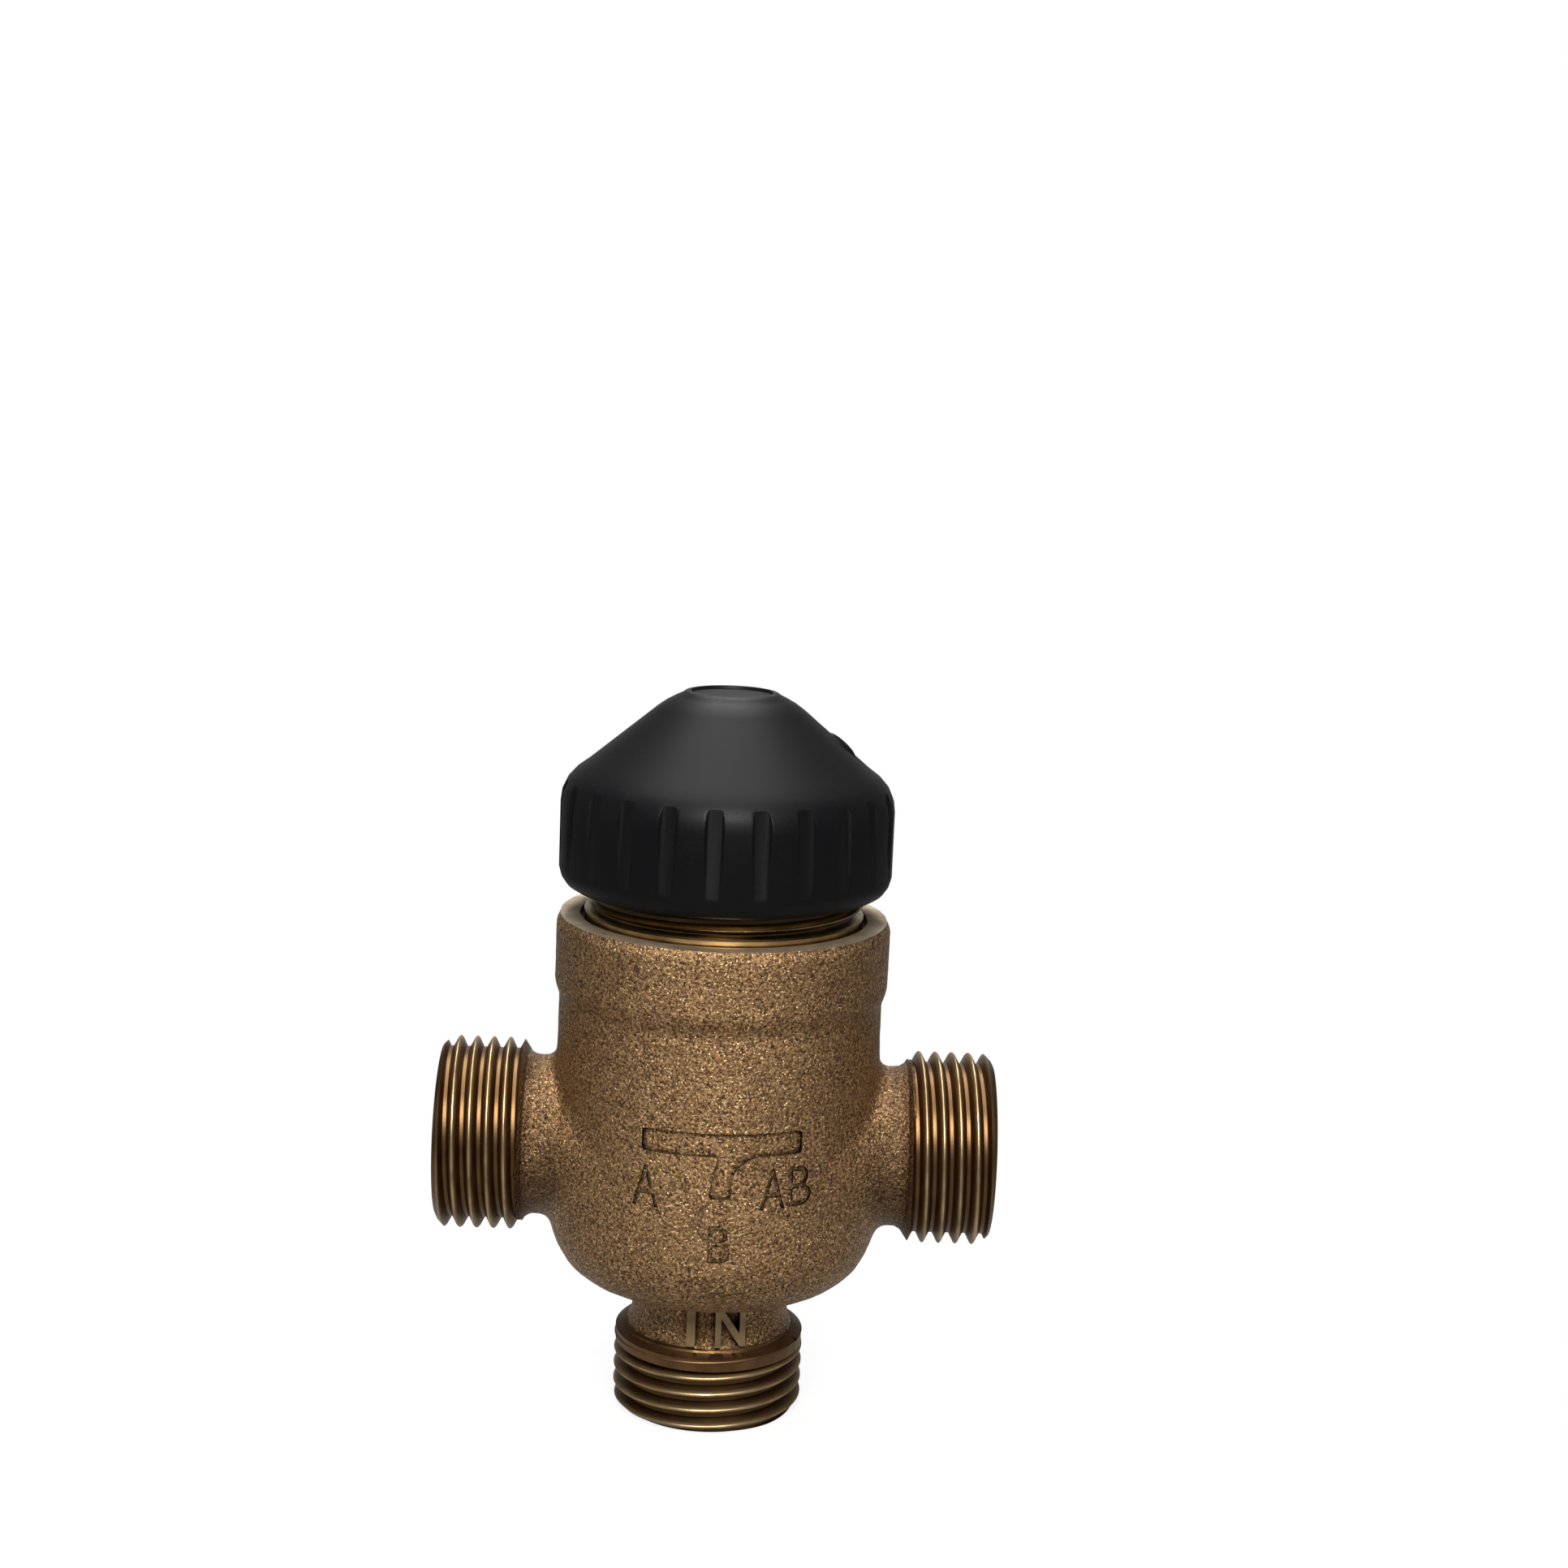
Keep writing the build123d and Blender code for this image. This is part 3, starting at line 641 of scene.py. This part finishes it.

# %% [markdown]
# ## The return spring
# The spring is wound from round steel wire, and it gets shorter as the stem goes down. A small
# circle stands beside the axis and a screw modifier winds it up, as a winding machine feeds wire
# round a mandrel. This coil replaces the frame's and rides with the casing, with a mesh of its own.

# %% A wound coil
COIL_RADIUS = 5.2
COIL_TURNS = 4.5
spring_low, spring_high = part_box("return_spring")
wire_radius = spring_high.x - COIL_RADIUS * MM
spring_length = spring_high.z - spring_low.z
start()
bpy.ops.mesh.primitive_circle_add(
    vertices=24, radius=wire_radius, rotation=(pi / 2, 0, 0),
    location=(COIL_RADIUS * MM, 0, spring_low.z + wire_radius),
)
spring = settle(take("wound_spring"))
modify(
    spring, "SCREW",
    angle=COIL_TURNS * 2 * pi, screw_offset=spring_length - 2 * wire_radius,
    steps=300, render_steps=300, axis="Z", use_merge_vertices=False,
)
bpy.ops.object.mode_set(mode="EDIT")
bpy.ops.mesh.select_all(action="SELECT")
bpy.ops.mesh.fill_holes(sides=0)
bpy.ops.object.mode_set(mode="OBJECT")
choose(outwards(spring))
bpy.ops.object.shade_smooth_by_angle(angle=radians(40))
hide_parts("return_spring")
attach(spring, "casing")
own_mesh(spring)
print(f"spring: wire {2 * wire_radius / MM:.2f} mm, {spring_length / MM:.1f} mm long at rest")

# %% [markdown]
# ## Colours and nodes
# Colours are written as the hex values that a colour picker shows, and one function turns them
# into the linear values that light works with. Another adds a node with its settings and links.

# %% Colour and node helpers
def colour(code):
    """Linear colour from an sRGB hex code."""
    parts = [int(code[k:k + 2], 16) / 255 for k in (1, 3, 5)]
    return [p / 12.92 if p <= 0.04045 else ((p + 0.055) / 1.055) ** 2.4 for p in parts] + [1]


def add(tree, kind, inputs=None, **settings):
    """Adds a node. An input is a value, or the socket that it is linked from."""
    made = tree.nodes.new("ShaderNode" + kind)
    for key, value in settings.items():
        setattr(made, key, value)
    for key, value in (inputs or {}).items():
        if isinstance(value, bpy.types.NodeSocket):
            tree.links.new(value, made.inputs[key])
        else:
            made.inputs[key].default_value = value
    return made


def blank_material(name):
    """A material with only its output node."""
    made = bpy.data.materials.new(name)
    made.use_nodes = True
    made.node_tree.nodes.clear()
    return made, made.node_tree, made.node_tree.nodes.new("ShaderNodeOutputMaterial")


# %% [markdown]
# ## Sand-cast bronze
# Molten bronze takes the print of the sand grains, a few tenths of a millimetre across, so the
# skin is a field of tiny facets: most dull and brown, some turned to the light and bright.
# Noise at the grain's size drives colour and bump together, and cells of half that size pick the
# few grains that are smooth and get a pale painted glint in their colour. Slower noise gives the
# patches that come from handling and from the melt. A painted shade darkens the colour in the
# corners, from ambient occlusion, and out along the side necks.

# %% Cast bronze
SAND_GRAIN, FACET, PATCH = 0.3, 0.15, 6
GRAIN_DEPTH = 0.2
CORNER_REACH = 0.8
cast_bronze, tree, output = blank_material("sand_cast_bronze")
place = add(tree, "TexCoord").outputs["Object"]
grain = add(
    tree, "TexNoise",
    {"Vector": place, "Scale": 1 / (SAND_GRAIN * MM), "Detail": 3, "Roughness": 0.75},
).outputs[0]
patch = add(tree, "TexNoise", {"Vector": place, "Scale": 1 / (PATCH * MM), "Detail": 3}).outputs[0]
facet = add(tree, "TexVoronoi", {"Vector": place, "Scale": 1 / (FACET * MM)})
glint = add(
    tree, "MapRange",
    {"Value": add(tree, "SeparateColor", {0: facet.outputs["Color"]}).outputs[0],
     "From Min": 0.8, "From Max": 1.0},
).outputs[0]
grain_mix = add(tree, "MapRange", {"Value": grain, "From Min": 0.4, "From Max": 0.62}).outputs[0]
sand = add(
    tree, "Mix",
    {0: grain_mix, 6: colour("#2f2016"), 7: colour("#b98f62")},
    data_type="RGBA",
).outputs[2]
patch_mix = add(
    tree, "MapRange", {"Value": patch, "From Min": 0.3, "From Max": 0.75, "To Max": 0.5}
).outputs[0]
patched = add(
    tree, "Mix",
    {0: patch_mix, 6: sand, 7: colour("#6f5338")},
    data_type="RGBA",
).outputs[2]
# Painted glint: the chosen cells take a pale colour, #e3c08c, as if turned to the light.
painted_glint = add(
    tree, "Mix",
    {0: glint, 6: patched, 7: colour("#e3c08c")},
    data_type="RGBA",
).outputs[2]
bump = add(
    tree, "Bump", {"Strength": 1.0, "Distance": GRAIN_DEPTH * MM, "Height": grain}
).outputs[0]
# Painted shade: ambient occlusion darkens the colour towards #1d140d in corners and recesses.
corner = add(tree, "AmbientOcclusion", {"Distance": CORNER_REACH * MM}, samples=8).outputs["AO"]
open_air = add(tree, "MapRange", {"Value": corner, "From Min": 0.4, "From Max": 0.94}).outputs[0]
# Painted shade: the colour darkens with distance off the stem's axis, out along the side necks.
level_place = add(tree, "VectorMath", {0: place, 1: (1, 1, 0)}, operation="MULTIPLY").outputs[0]
off_axis = add(tree, "VectorMath", {0: level_place}, operation="LENGTH").outputs["Value"]
neck_shade = add(
    tree, "MapRange",
    {"Value": off_axis, "From Min": 18.05 * MM, "From Max": 19.8 * MM,
     "To Min": 1.0, "To Max": 0.52},
    interpolation_type="SMOOTHSTEP",
).outputs[0]
unshaded = add(tree, "Math", {0: open_air, 1: neck_shade}, operation="MULTIPLY").outputs[0]
painted_shade = add(
    tree, "Mix",
    {0: unshaded, 6: colour("#1d140d"), 7: painted_glint},
    data_type="RGBA",
).outputs[2]
rough = add(tree, "MapRange", {"Value": glint, "To Min": 0.45, "To Max": 0.25}).outputs[0]
shader = add(
    tree, "BsdfPrincipled",
    {"Base Color": painted_shade, "Metallic": 0.9, "Normal": bump, "Roughness": rough},
)
tree.links.new(shader.outputs[0], output.inputs[0])
print("material:", cast_bronze.name)

# %% [markdown]
# ## Turned metal
# The threads, the rim and the bonnet are cut on a lathe. The tool leaves rings about the axis,
# a fifth of a millimetre apart, and they stretch every highlight across themselves. The rings
# come from a noise that only knows the distance from the axis and the place along it. The tone
# goes from root to crest: the roots of the threads get a darker painted shade and the crests a
# lighter painted highlight.

# %% Lathe-turned metals
TOOL_RING, STAIN = 0.22, 3.2


def turned_metal(name, centre, turn, tones, root, crest, gloss):
    """Turned metal about one axis: tones for root and crest (on threads painted shade and
    highlight), for stain, and two ends of roughness.
    """
    made, tree, output = blank_material(name)
    place = add(tree, "TexCoord").outputs["Object"]
    centre = [value * MM for value in centre]
    centred = add(tree, "VectorMath", {0: place, 1: centre}, operation="SUBTRACT").outputs[0]
    along = add(
        tree, "VectorRotate", {"Vector": centred, "Rotation": turn}, rotation_type="EULER_XYZ"
    ).outputs[0]
    parts = add(tree, "SeparateXYZ", {0: along})
    flat = add(tree, "CombineXYZ", {0: parts.outputs[0], 1: parts.outputs[1]})
    radius = add(tree, "VectorMath", {0: flat.outputs[0]}, operation="LENGTH").outputs["Value"]
    section = add(tree, "CombineXYZ", {0: radius, 1: parts.outputs[2]}).outputs[0]
    rings = add(
        tree, "TexNoise",
        {"Vector": section, "Scale": 1 / (TOOL_RING * MM), "Detail": 3, "Roughness": 0.6},
        noise_dimensions="2D",
    ).outputs[0]
    stain = add(
        tree, "TexNoise", {"Vector": place, "Scale": 1 / (STAIN * MM), "Detail": 4}
    ).outputs[0]
    # On threads, the darker root tone is painted shade and the lighter crest tone a painted
    # highlight.
    height = add(
        tree, "MapRange",
        {"Value": radius, "From Min": root * MM, "From Max": crest * MM},
        interpolation_type="SMOOTHSTEP",
    ).outputs[0]
    metal = add(
        tree, "Mix",
        {0: height, 6: colour(tones[0]), 7: colour(tones[1])},
        data_type="RGBA",
    ).outputs[2]
    stain_mix = add(
        tree, "MapRange", {"Value": stain, "From Min": 0.35, "From Max": 0.7, "To Max": 0.75}
    ).outputs[0]
    stained = add(
        tree, "Mix",
        {0: stain_mix, 6: metal, 7: colour(tones[2])},
        data_type="RGBA",
    ).outputs[2]
    bump = add(tree, "Bump", {"Strength": 0.35, "Distance": 0.02 * MM, "Height": rings}).outputs[0]
    rough = add(
        tree, "MapRange", {"Value": stain, "To Min": gloss[0], "To Max": gloss[1]}
    ).outputs[0]
    shader = add(
        tree, "BsdfPrincipled",
        {"Base Color": stained, "Metallic": 1.0, "Roughness": rough, "Normal": bump},
    )
    tree.links.new(shader.outputs[0], output.inputs[0])
    return made


UPRIGHT = (0, 0, 0)
SIDEWAYS = (0, pi / 2, 0)
# Thread tones: root in painted shade, crest in painted highlight, and a stain.
THREAD_TONES = ("#5e452c", "#bda37a", "#6e5639")
ROOT_SHADE_TO = PIPE_CREST - 0.6     # the radius up to which a thread's root gets painted shade
side_thread = turned_metal(
    "turned_bronze_side_threads", (0, 0, PORT_HEIGHT), SIDEWAYS,
    THREAD_TONES, ROOT_SHADE_TO, PIPE_CREST, (0.32, 0.48),
)
low_thread = turned_metal(
    "turned_bronze_lower_thread", (0, 0, 0), UPRIGHT,
    THREAD_TONES, ROOT_SHADE_TO, PIPE_CREST, (0.32, 0.48),
)
port_end = turned_metal(
    "faced_bronze_port_ends", (0, 0, PORT_HEIGHT), SIDEWAYS,
    ("#947853", "#b89f78", "#7d6648"), PORT_BORE, PIPE_ROOT, (0.36, 0.52),
)
faced_rim = turned_metal(
    "faced_bronze_rim", (0, 0, 0), UPRIGHT,
    ("#a88d68", "#c9bba4", "#7d6a54"), 14.0, 17.5, (0.5, 0.65),
)
bored_bronze = turned_metal(
    "bored_bronze", (0, 0, 0), UPRIGHT,
    ("#6a4e33", "#8b6b48", "#4c3523"), 4.0, 16.0, (0.35, 0.55),
)
# The bonnet's thread also gets painted shade in its roots and a painted highlight on its crests.
turned_brass = turned_metal(
    "turned_brass", (0, 0, 0), UPRIGHT,
    ("#54462f", "#c4aa7e", "#735d3d"), FINE_ROOT, FINE_CREST, (0.16, 0.34),
)
turned_steel = turned_metal(
    "turned_stainless_steel", (0, 0, 0), UPRIGHT,
    ("#8d8d8a", "#b4b4b0", "#7c7b77"), 0.0, 9.0, (0.22, 0.4),
)
print("turned metals made")

# %% [markdown]
# ## Plastics and rubber
# The cap is black ABS from a spark-eroded mould: a fine matt grain that softens every highlight
# into a grey sheen. Inside are a white slippery bush and black seal rings.

# %% Cap plastic, bush plastic and seal rubber
def moulded(name, dark, light, grain_size, roughness, grain_depth, gloss=0.5):
    """A moulded material with a fine grain and a slow change of tone."""
    made, tree, output = blank_material(name)
    place = add(tree, "TexCoord").outputs["Object"]
    grain = add(
        tree, "TexNoise",
        {"Vector": place, "Scale": 1 / (grain_size * MM), "Detail": 4, "Roughness": 0.7},
    ).outputs[0]
    slow = add(tree, "TexNoise", {"Vector": place, "Scale": 1 / (7 * MM), "Detail": 2}).outputs[0]
    tone = add(
        tree, "Mix", {0: slow, 6: colour(dark), 7: colour(light)}, data_type="RGBA"
    ).outputs[2]
    sheen = add(
        tree, "MapRange",
        {"Value": grain, "From Min": 0.3, "From Max": 0.7,
         "To Min": roughness[0], "To Max": roughness[1]},
    ).outputs[0]
    bump = add(
        tree, "Bump", {"Strength": 0.5, "Distance": grain_depth * MM, "Height": grain}
    ).outputs[0]
    shader = add(
        tree, "BsdfPrincipled",
        {"Base Color": tone, "Roughness": sheen, "IOR": 1.5,
         "Specular IOR Level": gloss, "Normal": bump},
    )
    tree.links.new(shader.outputs[0], output.inputs[0])
    return made


black_abs = moulded("spark_grained_black_abs", "#08080a", "#0c0c0d", 0.28, (0.4, 0.54), 0.004, 0.12)
white_bush = moulded("white_slippery_plastic", "#d9d6cc", "#e6e3da", 0.5, (0.35, 0.5), 0.005)
seal_rubber = moulded("black_nitrile_rubber", "#0d0d0d", "#171717", 0.4, (0.5, 0.7), 0.01)
print("plastics and rubber made")

# %% [markdown]
# ## Finishes on the pieces
# The casting takes its finish face by face: what lies beyond a thread's inner end is cut metal,
# the rim and the ends of the side ports are faced, what lies inside the casting's skin is bored,
# and the rest keeps the sand's print. The raised letters take the rim's lighter finish, a painted
# highlight. The other pieces of the frame keep their own mesh and only get their material.

# %% Materials by place
def dress(obj, *materials):
    """Gives an object its materials in place of what it had."""
    obj.data.materials.clear()
    for made in materials:
        obj.data.materials.append(made)


dress(casting, cast_bronze, side_thread, low_thread, faced_rim, bored_bronze, port_end)
SIDE, LOW, FACED, BORED, END = range(1, 6)      # slot 0 is the cast skin
THREAD_END = REACH - THREAD_LENGTH - 0.25
PLAIN_SHOULDER = 7.2
for face in casting.data.polygons:
    x, y, z, off_stem, off_side = placed(face.center)
    # The raised letters' faces get the lighter faced finish as a painted highlight.
    on_letter = off_stem > 9.25 and 9.7 < z < 14.3 and y < 0 and abs(x) < 5
    if z < PLAIN_SHOULDER:
        face.material_index = LOW
    elif z < THREAD_LENGTH + 0.9 and off_stem > 8.7:
        face.material_index = BORED
    elif on_letter:
        face.material_index = FACED
    elif abs(x) > REACH - 0.06:
        face.material_index = END
    elif abs(x) > THREAD_END:
        face.material_index = SIDE
    elif z > RIM - 0.95 and off_stem < 17.55:
        face.material_index = FACED
    elif (off_stem < 13.6 and z > 22) or off_side < 5.7 or off_stem < 5.7:
        face.material_index = BORED
choose(casting)
bpy.ops.object.shade_smooth_by_angle(angle=radians(42))
dress(bonnet, turned_brass)
choose(bonnet)
bpy.ops.object.shade_smooth_by_angle(angle=radians(28))
dress(cap, black_abs)
dress(spring, turned_steel)

FINISHES = {
    turned_brass: ("bonnet", "upper_seat_ring", "gland_nut", "control_plug"),
    turned_steel: (
        "stem", "plug_washer", "plug_nut", "spring_plate", "plate_clip", "spring_cup", "stem_clip",
        "stem_spacer", "return_spring",
    ),
    white_bush: ("guide_bush",),
    seal_rubber: (
        "bonnet_seal", "seat_ring_seal", "stem_seal_lower", "stem_seal_upper", "plug_seal_upper",
        "plug_seal_lower",
    ),
    cast_bronze: ("valve_body",),
    black_abs: ("screw_cap",),
}
for made, names in FINISHES.items():
    for name in names:
        dress(bpy.data.objects[name], made)
print("finishes given to", sum(len(names) for names in FINISHES.values()), "frame pieces")

# %% [markdown]
# ## Floor, light and camera
# The valve stands on its lower port on a pale sheet. The strongest lamp is in front and above,
# a large one hangs overhead, a small one behind, and two weak ones stand at the sides. The world
# is white to the camera and dark grey to other light, so that the metal keeps its depth. Only a
# reflection that looks straight to the back finds it pale, which draws the bright round edges.

# %% Floor and world
start()
bpy.ops.mesh.primitive_circle_add(vertices=128, radius=0.13, fill_type="NGON", location=(0, 0, 0))
floor = take("paper_sheet")
white_paper, tree, output = blank_material("matt_white_paper")
place = add(tree, "TexCoord").outputs["Object"]
fibre = add(tree, "TexNoise", {"Vector": place, "Scale": 1 / (2 * MM), "Detail": 3}).outputs[0]
tone = add(
    tree, "Mix", {0: fibre, 6: colour("#f4f4f4"), 7: colour("#fbfbfb")}, data_type="RGBA"
).outputs[2]
glow = add(tree, "Emission", {"Color": colour("#ffffff"), "Strength": 1.0})
ray = add(tree, "LightPath")
seen = add(
    tree, "Math",
    {0: ray.outputs["Is Camera Ray"], 1: ray.outputs["Is Transmission Ray"]},
    operation="MAXIMUM",
).outputs[0]
shown = add(tree, "Mix", {0: seen, 6: colour("#8a8a8a"), 7: tone}, data_type="RGBA").outputs[2]
paper = add(tree, "BsdfDiffuse", {"Color": shown})
dim_gloss = add(
    tree, "Math", {0: ray.outputs["Is Glossy Ray"], 1: 0.12}, operation="MULTIPLY"
).outputs[0]
seen = add(tree, "Math", {0: seen, 1: dim_gloss}, operation="MAXIMUM").outputs[0]
away = add(tree, "VectorMath", {0: place}, operation="LENGTH").outputs["Value"]
whiten = add(
    tree, "MapRange",
    {"Value": away, "From Min": 0.03, "From Max": 0.1, "To Min": 0.85, "To Max": 1.0},
    interpolation_type="SMOOTHSTEP",
).outputs[0]
share = add(tree, "Math", {0: seen, 1: whiten}, operation="MULTIPLY").outputs[0]
shader = add(tree, "MixShader", {0: share, 1: paper.outputs[0], 2: glow.outputs[0]})
tree.links.new(shader.outputs[0], output.inputs[0])
dress(floor, white_paper)

world = bpy.data.worlds.new("studio")
bpy.context.scene.world = world
world.use_nodes = True
tree = world.node_tree
tree.nodes.clear()
ray = add(tree, "LightPath")
seen = add(
    tree, "Math",
    {0: ray.outputs["Is Camera Ray"], 1: ray.outputs["Is Transmission Ray"]},
    operation="MAXIMUM",
).outputs[0]
toward = add(tree, "SeparateXYZ", {0: add(tree, "TexCoord").outputs["Generated"]}).outputs[1]
room = add(
    tree, "MapRange",
    {"Value": toward, "From Min": 0.85, "From Max": 1.0, "To Min": 0.04, "To Max": 0.5},
    interpolation_type="SMOOTHSTEP",
).outputs[0]
mirrored = add(
    tree, "Math", {0: room, 1: ray.outputs["Is Glossy Ray"]}, operation="MULTIPLY"
).outputs[0]
seen = add(tree, "Math", {0: seen, 1: mirrored}, operation="MAXIMUM").outputs[0]
level = add(tree, "MapRange", {"Value": seen, "To Min": 0.12, "To Max": 1.0}).outputs[0]
sky = add(tree, "Background", {"Color": colour("#ffffff"), "Strength": level})
end = tree.nodes.new("ShaderNodeOutputWorld")
tree.links.new(sky.outputs[0], end.inputs[0])


# %% Lamps
def soft_lamp(name, place, size, power):
    """A square area lamp that faces the middle of the valve."""
    start()
    bpy.ops.object.light_add(type="AREA", location=place)
    lamp = take(name)
    lamp.data.shape = "SQUARE"
    lamp.data.size = size
    lamp.data.energy = power
    aim = Vector((0, 0, 0.04)) - Vector(place)
    lamp.rotation_euler = aim.to_track_quat("-Z", "Y").to_euler()


LAMPS = {
    "overhead": ((-0.03, 0.02, 0.4), 0.3, 1.2),
    "left": ((-0.38, -0.02, 0.12), 0.12, 0.05),
    "right": ((0.38, -0.02, 0.12), 0.12, 0.04),
    "front": ((0.0, -0.36, 0.36), 0.2, 3.5),
    "back": ((0.0, 0.25, 0.42), 0.2, 1.1),
}
for name, (place, size, power) in LAMPS.items():
    soft_lamp(name, place, size, power)
print("lamps:", ", ".join(LAMPS))

# %% Camera
PLACE = Vector((-0.00004, -0.2684, 0.11633))
AIM = Vector((0.0059, 0, 0.06981))
ROLL = radians(2.373)
start()
bpy.ops.object.camera_add(location=PLACE)
camera = take("camera")
look = (AIM - PLACE).to_track_quat("-Z", "Y").to_matrix().to_4x4()
camera.rotation_euler = (look @ Matrix.Rotation(ROLL, 4, "Z")).to_euler()
camera.data.lens = 58.403
camera.data.sensor_width = 36
camera.data.clip_start = 0.01
bpy.context.scene.camera = camera
bpy.context.scene.view_settings.view_transform = "Standard"
print("camera", round((PLACE - AIM).length / MM), "mm from the valve")
